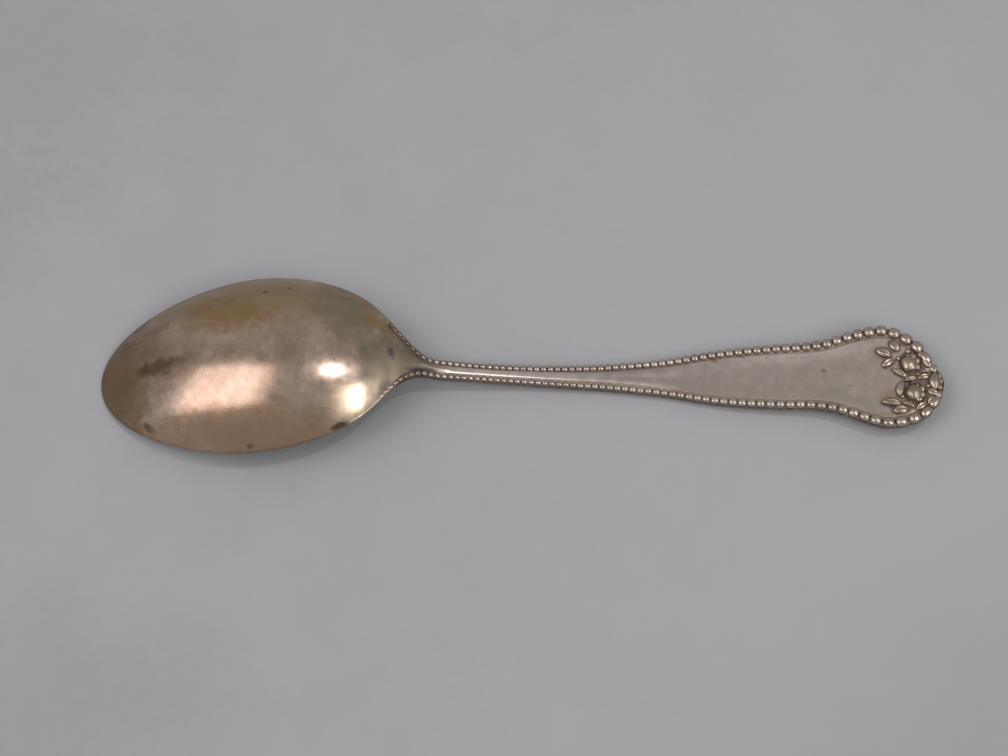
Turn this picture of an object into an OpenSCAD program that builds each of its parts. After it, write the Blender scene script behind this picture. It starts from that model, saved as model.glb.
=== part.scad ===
// A teaspoon with beaded borders and a spray of roses, lying on its front with its back up.
// The origin is the centre of the bounding box, on the table. +X runs from the tip of the
// bowl to the end of the handle, +Y to the left of that and +Z up, out of the spoon's back.
// Inside the file, x is counted from the tip of the bowl and y from the middle of the handle.

/* [Whole spoon] */
// Overall length, from the tip of the bowl to the end of the handle
spoon_length = 150; // [140:1:165]

/* [Bowl] */
// Length of the bowl, from its tip to its heel
bowl_length = 54; // [48:0.5:58]
// Width across the rim at the widest place
bowl_width = 33.7; // [28:0.1:38]
// Depth of the hollow below the rim at the widest place
bowl_depth = 6.6; // [4:0.1:8]
// Thickness of the metal at the bottom of the bowl
bowl_wall = 1; // [0.8:0.05:1.5]
// Width of the flat land round the rim
rim_land = 1.1; // [0.9:0.05:1.4]
// Height of the outer edge of the rim
rim_edge = 0.35; // [0.25:0.05:0.5]
// Height of the rim over the table at the heel
rim_rise = 7.8; // [5:0.1:10]
// Sideways turn of the bowl against the handle, in degrees
bowl_turn = 2.2; // [0:0.1:4]

/* [Shank] */
// Width of the shank at its narrowest place
shank_width = 3.3; // [2.8:0.1:4.5]
// Thickness of the shank over its two crowns
shank_thick = 2.6; // [2.2:0.1:3.4]
// Thickness of the shank at its edges, under the beads
shank_edge_thick = 1.4; // [1.2:0.1:1.7]
// Length of the heel, where the bowl narrows into the shank
heel_length = 7; // [6:0.5:9]

/* [Handle end] */
// Width of the handle at its widest place
end_width = 19.2; // [16:0.1:22]
// Thickness of the blade of the handle
blade_thick = 1.4; // [1.2:0.1:1.8]
// Height of the end of the handle over its lowest stretch
end_rise = 2.5; // [0:0.1:5]

/* [Beads] */
// Distance from bead to bead beside the bowl
bead_pitch_small = 1.15; // [1.05:0.01:1.3]

/* [Rose spray] */
// Height of a rose over the blade
rose_height = 0.95; // [0.6:0.05:1.2]
// Height of a leaf over the blade
leaf_height = 0.5; // [0.3:0.05:0.7]

/* [Hidden] */

// Gap between an ornament and the metal that carries it
seat_gap = 0.02;
// Overrun of every cut
overrun = 5;
// Half the step over which a slope is measured
slope_step = 0.05;

// Bowl: the widest place along its length, and the form of its plan and of its crown
wide_share = 0.515;
tip_blunt_share = 0.997;
tip_power = 1.7;
crown_power = 2.3;
profile_power = 1.8;
// The narrowest half width kept between the inner points near the tip, of the whole half width
core_share = 0.3;
// Where the heel's shoulder leaves the bowl's oval, and where the places along the handle are counted from
shoulder_start_share = 0.87;
shoulder_end_share = 1.056;
// Where the neck has become as narrow as the shank, and where the bowl's axis begins to bend to the handle's
flare_end_share = 1.093;
bend_start_share = 0.92;
// Where the bowl's axis crosses the handle's, of the bowl's length
pivot_share = 0.41;
// Where the bead strip begins, of the bowl's length
strip_start_share = 0.925;
strip_run_share = 0.045;

wide_x = bowl_length * wide_share;
half_bowl = bowl_width / 2;
half_hollow = half_bowl - rim_land;
hollow_end = bowl_length - rim_land;
shoulder_x0 = bowl_length * shoulder_start_share;
shoulder_x1 = bowl_length * shoulder_end_share;
flare_x = bowl_length * flare_end_share;
bend_x = bowl_length * bend_start_share;
strip_x = bowl_length * strip_start_share;
strip_run = bowl_length * strip_run_share;
neck_x = hollow_end + heel_length;
crown_rise = bowl_depth + bowl_wall - rim_edge;

// Handle: the run from the end of the shoulder to the end, and places along it
handle_run = spoon_length - shoulder_x1;
rest_share = 0.375;
flat_share = 0.415;
climb_share = 0.46;
blade_share = 0.53;
pad_share = 0.83;
function handle_x(share) = shoulder_x1 + handle_run * share;
// Places at the end are counted back from the tip, by the end's width
function end_x(share) = spoon_length - end_width * share;
rest_x = handle_x(rest_share);
flat_x = handle_x(flat_share);
climb_x = handle_x(climb_share);
blade_x = handle_x(blade_share);
pad_x = handle_x(pad_share);

// The end of the neck's drop: its place in heel lengths, its height and its slope
steep_share = 1.16;
steep_height_share = 0.395;
steep_slope_share = 0.188;
// The share of the end's rise that is reached where the flat end of the blade begins
pad_rise_share = 0.7;
// The heel's crown where the hollow ends, by the shank's thickness
heel_crown_share = 0.55;
shank_crown = (shank_thick - shank_edge_thick) / 2;

// Half the width of the handle up to the waist, the same on both sides: first by the shank's
// width and then by the end's width, each with its place as a share of the run to the waist
waist_share = 1.283;
waist_x = end_x(waist_share);
function waist_run_x(share) = mix(shoulder_x1, waist_x, share);
shank_side_shares = [[0, 0.535], [0.136, 0.5], [0.272, 0.523]];
blade_side_shares = [
    [0.463, 0.117], [0.571, 0.152], [0.646, 0.184], [0.776, 0.264], [0.891, 0.304], [1, 0.32]
];
// The outline of the end of the handle, from the waist to the tip, on its left side
left_end_shares = [
    [1.283, 0.32], [1.065, 0.352], [0.872, 0.415], [0.639, 0.472], [0.484, 0.472], [0.358, 0.416],
    [0.247, 0.334], [0.16, 0.226], [0.102, 0.115], [0.034, 0.005], [0, -0.09]
];
// The same on its right side, which is a little fuller
right_end_shares = [
    [1.283, 0.32], [1.065, 0.348], [0.872, 0.41], [0.63, 0.505], [0.475, 0.518], [0.349, 0.493],
    [0.237, 0.452], [0.15, 0.383], [0.082, 0.3], [0.029, 0.2], [0, 0.09]
];

// Beads: radius as a share of the pitch, rise as a share of the radius, distance of the row
// from the edge as a share of the radius, and where the rows begin, by the bowl's length, and end
bead_share = 0.455;
bead_rise_share = 0.85;
bead_inset_share = 0.8;
strip_width_share = 1.75;
left_start_share = 0.968;
right_start_share = 0.942;
left_end_share = 0.165;
right_end_share = 0.136;
pitch_power = 1.8;
// The pitch at the end of the handle, by the end's width
pitch_share = 0.1224;
bead_pitch_large = end_width * pitch_share;

// Roses: radius by the end's width, then place from the tip and across, size and stretch across
rose_share = 0.0885;
rose_r = end_width * rose_share;
rose_spots = [
    [0.344, 0.121, 0.95, 1.12], [0.31, -0.19, 1, 1.05], [0.107, -0.088, 0.75, 1.5]
];
rose_bud_share = 0.55;
petal_ring_share = 0.5;
petal_height_share = 0.75;
petal_turn_share = 0.25;
petals = 6;
// Leaves: place from the tip and across, length and width by the end's width, and turn
leaf_spots = [
    [0.572, 0.216, 0.14, 0.085, -25], [0.47, 0.276, 0.12, 0.085, -55], [0.538, 0.112, 0.125, 0.07, 35],
    [0.431, 0.012, 0.15, 0.055, -35], [0.446, -0.14, 0.165, 0.068, 75], [0.557, -0.28, 0.18, 0.08, -8],
    [0.446, -0.352, 0.135, 0.095, 12], [0.184, -0.295, 0.125, 0.07, 40]
];
// How far a leaf's dome reaches towards its points, of half its length, which blunts them
leaf_tip_share = 0.9;
// Buds: place from the tip and across, and radius by the end's width
bud_spots = [
    [0.339, 0.235, 0.03], [0.218, 0.045, 0.024], [0.213, -0.03, 0.022], [0.276, 0.03, 0.02]
];

// Numbers of stations along each body and of points across it
bowl_steps = 32;
bowl_across = 20;
heel_steps = 8;
shank_steps = 24;
shank_across = 6;
blade_steps = 9;
curve_steps = 5;
search_steps = 200;

function squash(t) = min(1, max(0, t));
function ease(t) = let (u = squash(t)) u * u * (3 - 2 * u);
function mix(a, b, t) = a + (b - a) * t;

// A smooth curve over one run, from its end values and end slopes
function ease_curve(t, run, y0, y1, slope0, slope1) =
    (1 - t * t * (3 - 2 * t)) * y0 + t * t * (3 - 2 * t) * y1
    + run * t * (1 - t) * ((1 - t) * slope0 - t * slope1);

// A point on a smooth curve through p1 and p2, with its neighbours p0 and p3
function curve_point(p0, p1, p2, p3, t) =
    p1 + (p2 - p0) * t / 2
    + (2 * p0 - 5 * p1 + 4 * p2 - p3) * t * t / 2
    + (3 * p1 - p0 - 3 * p2 + p3) * t * t * t / 2;
function smooth_path(p, steps) = [
    for (i = [0 : len(p) - 2], j = [0 : steps - 1])
        curve_point(p[max(0, i - 1)], p[i], p[i + 1], p[min(len(p) - 1, i + 2)], j / steps),
    p[len(p) - 1]
];

// The bowl's plan: a blunt egg, which the shoulder joins to the shank
function egg(x, radius) = x < wide_x
    ? sqrt(1 - pow(squash((wide_x - x) / radius), tip_power))
    : sqrt(1 - pow(squash((x - wide_x) / radius), 2));
function oval_half(x) = half_bowl * egg(x, x < wide_x ? wide_x / tip_blunt_share : bowl_length - wide_x);
function hollow_half(x) = half_hollow * egg(x, x < wide_x ? wide_x - rim_land : hollow_end - wide_x);

// Half the width of the shank and of the blade up to the waist
side_points = concat(
    [for (p = shank_side_shares) [waist_run_x(p[0]), shank_width * p[1]]],
    [for (p = blade_side_shares) [waist_run_x(p[0]), end_width * p[1]]]
);
function side_slope(i) = i == 0 || i == len(side_points) - 1
    ? 0
    : (side_points[i + 1][1] - side_points[i - 1][1]) / (side_points[i + 1][0] - side_points[i - 1][0]);
function side_half(x, i = 0) = i < len(side_points) - 2 && x > side_points[i + 1][0]
    ? side_half(x, i + 1)
    : let (a = side_points[i], b = side_points[i + 1], run = b[0] - a[0])
        ease_curve(squash((x - a[0]) / run), run, a[1], b[1], side_slope(i), side_slope(i + 1));

// Half the width and the middle line of the whole spoon, up to the waist
oval_slope = (oval_half(shoulder_x0 + slope_step) - oval_half(shoulder_x0 - slope_step)) / (2 * slope_step);
function half_width(x) = x < shoulder_x0 ? oval_half(x)
    : x > flare_x ? side_half(x)
    : let (run = flare_x - shoulder_x0)
        ease_curve((x - shoulder_x0) / run, run, oval_half(shoulder_x0), side_half(flare_x), oval_slope, 0);
function middle(x) = (min(x, bowl_length) - bowl_length * pivot_share) * tan(bowl_turn)
    * (1 - ease((x - bend_x) / (neck_x - bend_x)));

// Height of the rim's land, and of the middle plane of the edges all along the spoon
function rim_height(x) = rim_rise * (1 - pow(1 - squash(x / bowl_length), 2));
fall_height = rim_height(hollow_end) + rim_edge / 2 - shank_thick / 2;
steep_x = hollow_end + heel_length * steep_share;
steep_height = rim_rise * steep_height_share;
steep_slope = -rim_rise * steep_slope_share / heel_length;
pad_slope = end_rise * (1 - pad_rise_share) / (spoon_length - pad_x);
function edge_height(x) = x < hollow_end ? rim_height(x) + rim_edge / 2
    : shank_thick / 2 + (
        x < steep_x
            ? ease_curve((x - hollow_end) / (steep_x - hollow_end), steep_x - hollow_end,
                fall_height, steep_height, 0, steep_slope)
        : x < rest_x
            ? ease_curve((x - steep_x) / (rest_x - steep_x), rest_x - steep_x,
                steep_height, 0, steep_slope, 0)
        : x < climb_x ? 0
        : x < pad_x
            ? ease_curve((x - climb_x) / (pad_x - climb_x), pad_x - climb_x,
                0, end_rise * pad_rise_share, 0, pad_slope)
        : end_rise * pad_rise_share + (x - pad_x) * pad_slope);

// Half the thickness at the edges, and the rise of the crown over them
function half_edge(x) = x < blade_x
    ? mix(mix(rim_edge, shank_edge_thick, ease((x - shoulder_x0) / (neck_x - shoulder_x0))), blade_thick,
        ease((x - flat_x) / (blade_x - flat_x))) / 2
    : blade_thick / 2;
function stem_crown(x) = shank_crown * ease((x - hollow_end) / heel_length)
    * (1 - ease((x - flat_x) / (blade_x - flat_x)));
function bowl_crown(x) = crown_rise * pow(half_width(x) / half_bowl, profile_power)
    * (1 - ease((x - hollow_end) / heel_length));
// The thickening of the back where the bowl runs into the shank
function heel_crown(x) = shank_thick * heel_crown_share * ease((x - shoulder_x0) / (hollow_end - shoulder_x0))
    * (1 - ease((x - hollow_end) / heel_length));

// Pitch and radius of the beads
function bead_pitch(x) = mix(bead_pitch_small, bead_pitch_large,
    pow(squash((x - shoulder_x1) / handle_run), pitch_power));
function bead_r(x) = bead_share * bead_pitch(x);
function strip_width(x) = bead_r(x) * strip_width_share * ease((x - strip_x) / strip_run);

// Surfaces of the bowl, heel and shank, with v counted across from the middle line
function back_height(x, v) = let (inner = half_width(x) - strip_width(x), u = squash(abs(v) / inner))
    edge_height(x) + half_edge(x)
    + bowl_crown(x) * (1 - pow(u, crown_power)) + (heel_crown(x) + stem_crown(x)) * (1 - u * u);
function hollow_height(x, v) = let (h = x < rim_land || x > hollow_end ? 0 : hollow_half(x))
    abs(v) < h ? bowl_depth * pow(h / half_hollow, profile_power) * (1 - pow(abs(v) / h, crown_power)) : 0;
function front_height(x, v) = let (inner = half_width(x) - strip_width(x), u = squash(abs(v) / inner))
    edge_height(x) - half_edge(x) + hollow_height(x, v) - stem_crown(x) * (1 - u * u);

// One cross-section: a row of back points and a row of front points, both from right to left
function inner_half(x) = x < rim_land ? half_width(x) * core_share
    : x < strip_x ? max(hollow_half(x), half_width(x) * core_share)
    : half_width(x) - max(strip_width(x), rim_land * ease((hollow_end - x) / strip_run));
function across(x, n) = let (h = half_width(x), inner = inner_half(x))
    [-h, for (j = [0 : n]) -inner * cos(180 * j / n), h];
function section(x, n) = let (v = across(x, n)) [
    for (s = v) [x, middle(x) + s, back_height(x, s)],
    for (s = v) [x, middle(x) + s, front_height(x, s)]
];

// A closed body through a list of cross-sections of the same number of points
module loft(xs, n) {
    m = n + 3;
    last = len(xs) - 1;
    points = [for (x = xs) each section(x, n)];
    function at(i, j) = i * 2 * m + j;
    back = [for (i = [0 : last - 1], j = [0 : m - 2])
        each [[at(i, j), at(i, j + 1), at(i + 1, j + 1)], [at(i, j), at(i + 1, j + 1), at(i + 1, j)]]];
    front = [for (i = [0 : last - 1], j = [m : 2 * m - 2])
        each [[at(i, j), at(i + 1, j + 1), at(i, j + 1)], [at(i, j), at(i + 1, j), at(i + 1, j + 1)]]];
    right = [for (i = [0 : last - 1])
        each [[at(i, 0), at(i + 1, 0), at(i + 1, m)], [at(i, 0), at(i + 1, m), at(i, m)]]];
    left = [for (i = [0 : last - 1])
        each [[at(i, m - 1), at(i + 1, 2 * m - 1), at(i + 1, m - 1)],
            [at(i, m - 1), at(i, 2 * m - 1), at(i + 1, 2 * m - 1)]]];
    start = [for (j = [0 : m - 2])
        each [[at(0, j), at(0, m + j), at(0, m + j + 1)], [at(0, j), at(0, m + j + 1), at(0, j + 1)]]];
    end = [for (j = [0 : m - 2])
        each [[at(last, j), at(last, m + j + 1), at(last, m + j)],
            [at(last, j), at(last, j + 1), at(last, m + j + 1)]]];
    polyhedron(points, concat(back, front, right, left, start, end));
}

// The whole spoon's place: the middle of its bounding box comes to the origin
bowl_xs = [for (i = [0 : bowl_steps]) hollow_end * (1 - cos(180 * i / bowl_steps)) / 2];
box_left = max([for (x = bowl_xs) middle(x) + half_width(x)]);
box_right = min([for (x = bowl_xs) middle(x) - half_width(x)]);
module place() translate([-spoon_length / 2, -(box_left + box_right) / 2, 0]) children();

// The outline of the handle's end on one side, which is 1 for left and -1 for right
function end_path(side) = smooth_path([for (p = side > 0 ? left_end_shares : right_end_shares)
    [end_x(p[0]), side * end_width * p[1]]], curve_steps);

// One bead row: points along the edge, moved in by the inset, and walked at the growing pitch
function edge_points(side) = [
    for (i = [0 : search_steps - 1])
        let (from = bowl_length * (side > 0 ? left_start_share : right_start_share))
        let (x = mix(from, waist_x, i / search_steps))
            [x, middle(x) + side * half_width(x)],
    each end_path(side)
];
function unit(v) = v / norm(v);
function row_points(side) = let (e = edge_points(side)) [
    for (i = [0 : len(e) - 2])
        let (d = unit(e[i + 1] - e[max(0, i - 1)]))
            e[i] + side * [d[1], -d[0]] * bead_r(e[i][0]) * bead_inset_share
];
function walk(p, i, at, stop) = i > len(p) - 2 || at[0] > stop ? []
    : norm(p[i + 1] - at) < bead_pitch(at[0]) ? walk(p, i + 1, at, stop)
    : let (next = at + unit(p[i + 1] - at) * bead_pitch(at[0])) concat([next], walk(p, i, next, stop));
function row(side) = let (p = row_points(side), stop = side > 0 ? left_end_share : right_end_share)
    concat([p[0]], walk(p, 0, p[0], end_x(stop)));

// Height of the edges' top on the back, where face is 1, or of their underside on the front, -1
function edge_level(face, x) = edge_height(x) + face * half_edge(x);

// Puts a child on the back or on the front of the handle, square to its slope there
module seat(face, x, y) {
    slope = (edge_level(face, x + slope_step) - edge_level(face, x - slope_step)) / (2 * slope_step);
    translate([x, y, edge_level(face, x) + face * seat_gap]) rotate([0, -atan(slope), 0])
        if (face > 0) children();
        else mirror([0, 0, 1]) children();
}

// A low dome with a flat foot
module dome(r, height) {
    ball_r = (r * r + height * height) / (2 * height);
    intersection() {
        translate([0, 0, height - ball_r]) sphere(ball_r, $fn = 48);
        cylinder(h = height + overrun, r = r + overrun, $fn = 48);
    }
}

// A leaf with a flat foot and blunted points: the part of a dome that lies between two arcs
module leaf(length, width) {
    arc_r = (length * length + width * width) / (4 * width);
    intersection() {
        dome(length / 2 * leaf_tip_share, leaf_height);
        translate([0, arc_r - width / 2, -overrun]) cylinder(h = overrun * 2, r = arc_r, $fn = 64);
        translate([0, width / 2 - arc_r, -overrun]) cylinder(h = overrun * 2, r = arc_r, $fn = 64);
    }
}

// A rose in half relief: a bud in the middle of a ring of petals, drawn out along y by stretch
module rose(r, stretch) {
    dome(r * rose_bud_share, rose_height);
    for (i = [0 : petals - 1]) {
        turn = 360 * (i + petal_turn_share) / petals;
        reach = r * petal_ring_share;
        translate([reach * cos(turn), reach * stretch * sin(turn), 0])
            dome(r - reach, rose_height * petal_height_share);
    }
}

module rose_at(face, i) {
    spot = rose_spots[i];
    seat(face, end_x(spot[0]), end_width * spot[1]) rose(rose_r * spot[2], spot[3]);
}
module leaves(face) {
    for (spot = leaf_spots) {
        seat(face, end_x(spot[0]), end_width * spot[1])
            rotate([0, 0, spot[4]]) leaf(end_width * spot[2], end_width * spot[3]);
    }
}
module buds(face) {
    for (spot = bud_spots) {
        seat(face, end_x(spot[0]), end_width * spot[1])
            dome(end_width * spot[2], end_width * spot[2] * bead_rise_share);
    }
}
module beads(face, side) {
    for (p = row(side)) {
        seat(face, p[0], p[1]) dome(bead_r(p[0]), bead_r(p[0]) * bead_rise_share);
    }
}

// The blade: its outline, cut out of a band that follows the bend of the handle
module blade() {
    left = end_path(1);
    right = end_path(-1);
    sides = [for (i = [0 : blade_steps - 1]) mix(blade_x, waist_x, i / blade_steps)];
    outline = concat(
        [for (x = sides) [x, side_half(x)]],
        left,
        [for (i = [len(right) - 2 : -1 : 0]) right[i]],
        [for (i = [blade_steps - 1 : -1 : 0]) [sides[i], -side_half(sides[i])]]
    );
    bends = concat([for (i = [0 : blade_steps]) mix(blade_x, pad_x, i / blade_steps)], [spoon_length]);
    band = concat(
        [for (x = bends) [x, edge_level(1, x)]],
        [for (i = [len(bends) - 1 : -1 : 0]) [bends[i], edge_level(-1, bends[i])]]
    );
    intersection() {
        linear_extrude(end_rise + shank_thick * 2) polygon(outline);
        rotate([90, 0, 0]) linear_extrude(end_width * 2, center = true) polygon(band);
    }
}

module bowl() color([0.6, 0.51, 0.42]) place() loft(bowl_xs, bowl_across);
module heel() color([0.63, 0.57, 0.5]) place()
    loft([for (i = [0 : heel_steps]) mix(hollow_end, neck_x, i / heel_steps)], bowl_across);
module shank() color([0.68, 0.63, 0.58]) place()
    loft([for (i = [0 : shank_steps]) mix(neck_x, blade_x, i / shank_steps)], shank_across);
module handle_plate() color([0.66, 0.62, 0.6]) place() blade();
module back_beads_left() color([0.72, 0.67, 0.62]) place() beads(1, 1);
module back_beads_right() color([0.72, 0.67, 0.62]) place() beads(1, -1);
module front_beads_left() color([0.72, 0.67, 0.62]) place() beads(-1, 1);
module front_beads_right() color([0.72, 0.67, 0.62]) place() beads(-1, -1);
module back_rose_left() color([0.66, 0.62, 0.56]) place() rose_at(1, 0);
module back_rose_right() color([0.66, 0.62, 0.56]) place() rose_at(1, 1);
module back_rose_tip() color([0.66, 0.62, 0.56]) place() rose_at(1, 2);
module back_leaves() color([0.64, 0.6, 0.54]) place() leaves(1);
module back_buds() color([0.74, 0.7, 0.65]) place() buds(1);
module front_rose_left() color([0.66, 0.62, 0.56]) place() rose_at(-1, 0);
module front_rose_right() color([0.66, 0.62, 0.56]) place() rose_at(-1, 1);
module front_rose_tip() color([0.66, 0.62, 0.56]) place() rose_at(-1, 2);
module front_leaves() color([0.64, 0.6, 0.54]) place() leaves(-1);
module front_buds() color([0.74, 0.7, 0.65]) place() buds(-1);

bowl();
heel();
shank();
handle_plate();
back_beads_left();
back_beads_right();
front_beads_left();
front_beads_right();
back_rose_left();
back_rose_right();
back_rose_tip();
back_leaves();
back_buds();
front_rose_left();
front_rose_right();
front_rose_tip();
front_leaves();
front_buds();
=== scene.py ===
"""Looks of the teaspoon: smooth metal, beads, rose spray, tarnish, floor, lamps and camera."""

import math

import bpy
import numpy as np
from mathutils import Matrix, Vector


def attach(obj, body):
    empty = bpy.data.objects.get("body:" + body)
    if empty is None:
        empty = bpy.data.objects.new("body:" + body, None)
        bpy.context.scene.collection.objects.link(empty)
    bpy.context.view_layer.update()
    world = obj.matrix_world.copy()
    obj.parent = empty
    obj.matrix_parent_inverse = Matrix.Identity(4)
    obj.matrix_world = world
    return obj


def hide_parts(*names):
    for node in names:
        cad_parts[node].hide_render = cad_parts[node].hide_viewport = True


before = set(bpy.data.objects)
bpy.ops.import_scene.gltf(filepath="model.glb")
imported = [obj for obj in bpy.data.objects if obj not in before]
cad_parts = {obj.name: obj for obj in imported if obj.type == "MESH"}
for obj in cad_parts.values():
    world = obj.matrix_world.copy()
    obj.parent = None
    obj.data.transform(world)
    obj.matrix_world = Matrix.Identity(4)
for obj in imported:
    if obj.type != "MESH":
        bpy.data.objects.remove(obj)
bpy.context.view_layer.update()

# Sizes of the part, in millimetres: x counts from the bowl's tip, y from the handle's middle line
LENGTH = 150.0
BOWL_L = 54.0
BOWL_W = 33.7
DEPTH = 6.6  # of the hollow
WALL = 1.0  # of the bowl where it is deepest
LAND = 1.1  # the flat rim round the hollow, across
EDGE = 0.35  # thickness of the rim
RISE = 7.8  # how far the rim climbs from the tip to the neck
TURN = 2.2  # of the bowl against the handle, in degrees
SHANK_W = 3.3
SHANK_T = 2.6  # the shank's thickness in its middle
SHANK_E = 1.4  # the shank's thickness at its edges
HEEL = 7.0
END_W = 19.2  # the widest part of the handle's end
BLADE_T = 1.4
END_RISE = 2.5
FIRST_PITCH = 1.15  # of the beads at the neck
LAST_PITCH = END_W * 0.1224  # of the beads at the end
ROSE_H = 0.95

# Places along the spoon, and sizes that follow from those above
WIDE_X = BOWL_L * 0.515
HALF_BOWL = BOWL_W / 2
HALF_HOLLOW = HALF_BOWL - LAND
HOLLOW_END = BOWL_L - LAND
OVAL_END, HANDLE_X = BOWL_L * 0.87, BOWL_L * 1.056
FLARE_X, BEND_X = BOWL_L * 1.093, BOWL_L * 0.92
TURN_X = BOWL_L * 0.41
STRIP_X, STRIP_RUN = BOWL_L * 0.925, BOWL_L * 0.045
NECK_X = HOLLOW_END + HEEL
CROWN = DEPTH + WALL - EDGE
HANDLE_L = LENGTH - HANDLE_X
WAIST_X = LENGTH - END_W * 1.283


def handle_x(share):
    """The place at a share of the handle's length."""
    return HANDLE_X + HANDLE_L * share


def end_x(share):
    """The place that lies before the handle's end by a share of its width."""
    return LENGTH - END_W * share


REST_X, FLAT_X, CLIMB_X, BLADE_X, PAD_X = (handle_x(s) for s in (0.375, 0.415, 0.46, 0.53, 0.83))
# Half widths from the neck to the waist: shares of that length, and of the shank's or the end's width
SHANK_SIDE = [(0, 0.535), (0.136, 0.5), (0.272, 0.523)]
BLADE_SIDE = [(0.463, 0.117), (0.571, 0.152), (0.646, 0.184), (0.776, 0.264), (0.891, 0.304), (1, 0.32)]
SIDE = [(p, SHANK_W * q) for p, q in SHANK_SIDE] + [(p, END_W * q) for p, q in BLADE_SIDE]
SIDE = [(HANDLE_X + (WAIST_X - HANDLE_X) * p, q) for p, q in SIDE]
# Outline of the end, in shares of its width: how far before the end, and how far to the side
LEFT_END = [(1.283, 0.32), (1.065, 0.352), (0.872, 0.415), (0.639, 0.472), (0.484, 0.472), (0.358, 0.416),
            (0.247, 0.334), (0.16, 0.226), (0.102, 0.115), (0.034, 0.005), (0, -0.09)]
RIGHT_END = [(1.283, 0.32), (1.065, 0.348), (0.872, 0.41), (0.63, 0.505), (0.475, 0.518), (0.349, 0.493),
             (0.237, 0.452), (0.15, 0.383), (0.082, 0.3), (0.029, 0.2), (0, 0.09)]


def squash(t):
    """Keep a share between 0 and 1."""
    return min(1.0, max(0.0, t))


def ease(t):
    u = squash(t)
    return u * u * (3 - 2 * u)


def ramp(x, run):
    """From 0 to 1 over a run, which is given as its start and its length."""
    return ease((x - run[0]) / run[1])


def mix(a, b, t):
    return a + (b - a) * t


def bell(t, centre, width):
    return math.exp(-((t - centre) / width) ** 2)


def arch(t, power=2):
    """Height of a rounded form, from 1 at its middle to 0 at its foot, where t is 1."""
    return math.sqrt(max(0.0, 1 - t ** power))


def slope_at(height, x, step=0.05):
    return (height(x + step) - height(x - step)) / (2 * step)


def curve(x, a, b, ya, yb, slope_a, slope_b):
    """A smooth line from (a, ya) to (b, yb) with the given slopes at its ends."""
    run = b - a
    t = squash((x - a) / run)
    s = t * t * (3 - 2 * t)
    return (1 - s) * ya + s * yb + run * t * (1 - t) * ((1 - t) * slope_a - t * slope_b)


def smooth_path(p, steps):
    """A smooth line of points through the given points."""
    p = [np.array(q, float) for q in p]
    out = []
    for i in range(len(p) - 1):
        a, b, c, d = p[max(0, i - 1)], p[i], p[i + 1], p[min(len(p) - 1, i + 2)]
        for j in range(steps):
            t = j / steps
            out.append(b + (c - a) * t / 2 + (2 * a - 5 * b + 4 * c - d) * t * t / 2
                       + (3 * b - a - 3 * c + d) * t ** 3 / 2)
    return out + [p[-1]]


def egg(x, radius):
    """The bowl's outline as a share of its half width, blunter towards the tip."""
    if x < WIDE_X:
        return arch(squash((WIDE_X - x) / radius), 1.7)
    return arch(squash((x - WIDE_X) / radius))


def oval_half(x):
    """Half width of the bowl's oval."""
    return HALF_BOWL * egg(x, WIDE_X if x < WIDE_X else BOWL_L - WIDE_X)


def hollow_half(x):
    """Half width of the hollow."""
    if x < LAND or x > HOLLOW_END:
        return 0.0
    return HALF_HOLLOW * egg(x, WIDE_X - LAND if x < WIDE_X else HOLLOW_END - WIDE_X)


def side_slope(i):
    if i == 0 or i == len(SIDE) - 1:
        return 0.0
    return (SIDE[i + 1][1] - SIDE[i - 1][1]) / (SIDE[i + 1][0] - SIDE[i - 1][0])


def side_half(x):
    """Half width of the handle up to its waist."""
    i = 0
    while i < len(SIDE) - 2 and x > SIDE[i + 1][0]:
        i += 1
    (ax, ay), (bx, by) = SIDE[i], SIDE[i + 1]
    return curve(x, ax, bx, ay, by, side_slope(i), side_slope(i + 1))


OVAL_SLOPE = slope_at(oval_half, OVAL_END)


def half_width(x):
    """Half width of the outline from the tip to the waist."""
    if x < OVAL_END:
        return oval_half(x)
    if x > FLARE_X:
        return side_half(x)
    return curve(x, OVAL_END, FLARE_X, oval_half(OVAL_END), side_half(FLARE_X), OVAL_SLOPE, 0)


def middle(x):
    """The middle line, which turns with the bowl and is straight along the handle."""
    turned = (min(x, BOWL_L) - TURN_X) * math.tan(math.radians(TURN))
    return turned * (1 - ease((x - BEND_X) / (NECK_X - BEND_X)))


def rim_height(x):
    """Height of the rim's lower face over the table."""
    return RISE * (1 - (1 - squash(x / BOWL_L)) ** 2)


FALL = rim_height(HOLLOW_END) + EDGE / 2 - SHANK_T / 2
STEEP_X = HOLLOW_END + HEEL * 1.16
STEEP_H, STEEP_S = RISE * 0.395, -RISE * 0.188 / HEEL
PAD_S = END_RISE * 0.3 / (LENGTH - PAD_X)


def edge_height(x):
    """Height over the table of the middle of the edge."""
    if x < HOLLOW_END:
        return rim_height(x) + EDGE / 2
    if x < STEEP_X:
        z = curve(x, HOLLOW_END, STEEP_X, FALL, STEEP_H, 0, STEEP_S)
    elif x < REST_X:
        z = curve(x, STEEP_X, REST_X, STEEP_H, 0, STEEP_S, 0)
    elif x < CLIMB_X:
        z = 0.0
    elif x < PAD_X:
        z = curve(x, CLIMB_X, PAD_X, 0, END_RISE * 0.7, 0, PAD_S)
    else:
        z = END_RISE * 0.7 + (x - PAD_X) * PAD_S
    return SHANK_T / 2 + z


def blade_share(x):
    """0 on the shank and 1 on the blade."""
    return ease((x - FLAT_X) / (BLADE_X - FLAT_X))


def half_edge(x):
    """Half the thickness of the metal at the edge."""
    if x >= BLADE_X:
        return BLADE_T / 2
    return mix(mix(EDGE, SHANK_E, ease((x - OVAL_END) / (NECK_X - OVAL_END))), BLADE_T, blade_share(x)) / 2


def stem_crown(x):
    """How far both faces of the shank are crowned."""
    return (SHANK_T - SHANK_E) / 2 * ease((x - HOLLOW_END) / HEEL) * (1 - blade_share(x))


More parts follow.
